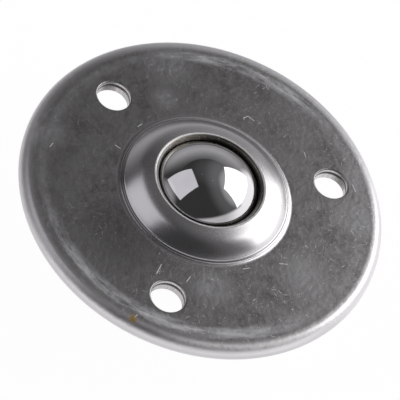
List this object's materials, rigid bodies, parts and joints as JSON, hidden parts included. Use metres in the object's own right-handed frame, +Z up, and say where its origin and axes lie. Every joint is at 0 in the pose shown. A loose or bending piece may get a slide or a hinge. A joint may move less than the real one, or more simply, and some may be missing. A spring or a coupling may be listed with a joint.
{
  "type": "flange ball transfer unit",
  "caption": "Round steel flange with bolt holes and a low dome that traps a freely turning load ball, carried on loose bearing balls in a race cup below.",
  "frame": {"origin": "centre of the bolt circle, on the face of the base plate that seats on the table", "axes": "+Z up along the unit's axis towards the load ball, +X through the first bolt hole"},
  "size_m": [0.0762, 0.0762, 0.0311],
  "materials": {
    "pressed_steel": "polished sheet, hazed and lightly scratched",
    "race_steel": "drawn sheet, plain",
    "ball_steel": "mirror polished, with faint track marks",
    "bearing_steel": "polished"
  },
  "bodies": {
    "housing": {"top_plate": "pressed_steel", "base_plate": "race_steel"},
    "ball_bed": {"bearing_ball_01": "bearing_steel", "bearing_ball_02": "bearing_steel", "bearing_ball_03": "bearing_steel", "bearing_ball_04": "bearing_steel", "bearing_ball_05": "bearing_steel", "bearing_ball_06": "bearing_steel", "bearing_ball_07": "bearing_steel", "bearing_ball_08": "bearing_steel", "bearing_ball_09": "bearing_steel", "bearing_ball_10": "bearing_steel", "bearing_ball_11": "bearing_steel", "bearing_ball_12": "bearing_steel", "bearing_ball_13": "bearing_steel", "bearing_ball_14": "bearing_steel", "bearing_ball_15": "bearing_steel", "bearing_ball_16": "bearing_steel", "bearing_ball_17": "bearing_steel", "bearing_ball_18": "bearing_steel", "bearing_ball_19": "bearing_steel", "bearing_ball_20": "bearing_steel", "bearing_ball_21": "bearing_steel", "bearing_ball_22": "bearing_steel", "bearing_ball_23": "bearing_steel", "bearing_ball_24": "bearing_steel", "bearing_ball_25": "bearing_steel", "bearing_ball_26": "bearing_steel", "bearing_ball_27": "bearing_steel", "bearing_ball_28": "bearing_steel", "bearing_ball_29": "bearing_steel", "bearing_ball_30": "bearing_steel", "bearing_ball_31": "bearing_steel", "bearing_ball_32": "bearing_steel", "bearing_ball_33": "bearing_steel", "bearing_ball_34": "bearing_steel", "bearing_ball_35": "bearing_steel", "bearing_ball_36": "bearing_steel", "bearing_ball_37": "bearing_steel", "bearing_ball_38": "bearing_steel", "bearing_ball_39": "bearing_steel", "bearing_ball_40": "bearing_steel", "bearing_ball_41": "bearing_steel", "bearing_ball_42": "bearing_steel", "bearing_ball_43": "bearing_steel", "bearing_ball_44": "bearing_steel", "bearing_ball_45": "bearing_steel", "bearing_ball_46": "bearing_steel", "bearing_ball_47": "bearing_steel", "bearing_ball_48": "bearing_steel", "bearing_ball_49": "bearing_steel", "bearing_ball_50": "bearing_steel", "bearing_ball_51": "bearing_steel", "bearing_ball_52": "bearing_steel", "bearing_ball_53": "bearing_steel", "bearing_ball_54": "bearing_steel"},
    "ball": {"load_ball": "ball_steel"}
  },
  "joints": [
    {"name": "bed_turn", "type": "hinge", "parent": "housing", "child": "ball_bed", "pos_m": [0, 0, -0.00174], "axis": [0, 0, 1], "continuous": true},
    {"name": "ball_roll", "type": "hinge", "parent": "ball_bed", "child": "ball", "pos_m": [0, 0, -0.00174], "axis": [1, 0, 0], "continuous": true}
  ]
}
